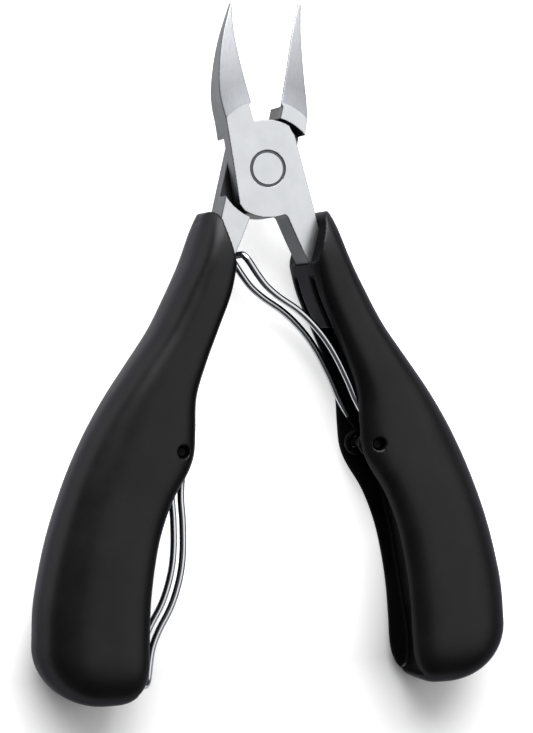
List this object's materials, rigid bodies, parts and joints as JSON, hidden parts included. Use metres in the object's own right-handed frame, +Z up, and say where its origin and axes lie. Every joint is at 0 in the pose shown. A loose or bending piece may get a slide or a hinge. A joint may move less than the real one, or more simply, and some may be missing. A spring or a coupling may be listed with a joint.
{
  "type": "toenail nipper",
  "caption": "Toenail nipper with long tapered jaws, crossed steel arms on a flush rivet, curved soft grips, a wire opening spring and a wire lock bail.",
  "frame": {"origin": "centre of the footprint, on the surface the nipper lies on, below a point between the pivot and the grips' ends", "axes": "+Z up out of the front face, +Y towards the jaw tips, +X to the side of the opening spring's grip"},
  "size_m": [0.0876, 0.1232, 0.0172],
  "materials": {
    "satin_steel": "satin ground stainless steel, jaws ground along their length",
    "polished_wire": "polished stainless spring wire",
    "blackened_steel": "blackened steel pin",
    "soft_black": "moulded soft-touch black, fine satin texture"
  },
  "bodies": {
    "front_half": {"front_arm": "satin_steel", "right_grip": "soft_black", "pivot_rivet": "satin_steel", "right_spring_pin": "blackened_steel"},
    "rear_half": {"rear_arm": "satin_steel", "left_grip": "soft_black", "left_spring_pin": "blackened_steel"},
    "spring": {"opening_spring": "polished_wire"},
    "lock": {"lock_bail": "polished_wire"}
  },
  "joints": [
    {"name": "handle_pivot", "type": "hinge", "parent": "front_half", "child": "rear_half", "pos_m": [0, 0.0319, 0.0086], "axis": [0, 0, 1], "range_deg": [0, 22], "stiffness_Nm_per_rad": 0.6, "springref_deg": -20.05},
    {"name": "spring_swing", "type": "hinge", "parent": "front_half", "child": "spring", "pos_m": [0.0182, -0.0175, 0.0086], "axis": [0, 0, 1], "range_deg": [-11, 0]},
    {"name": "lock_swing", "type": "hinge", "parent": "rear_half", "child": "lock", "pos_m": [-0.0182, -0.0175, 0.0086], "axis": [0, 0, 1], "range_deg": [0, 12]}
  ],
  "couplings": [
    {"joint": "spring_swing", "follows": "handle_pivot", "ratio": -0.5}
  ]
}
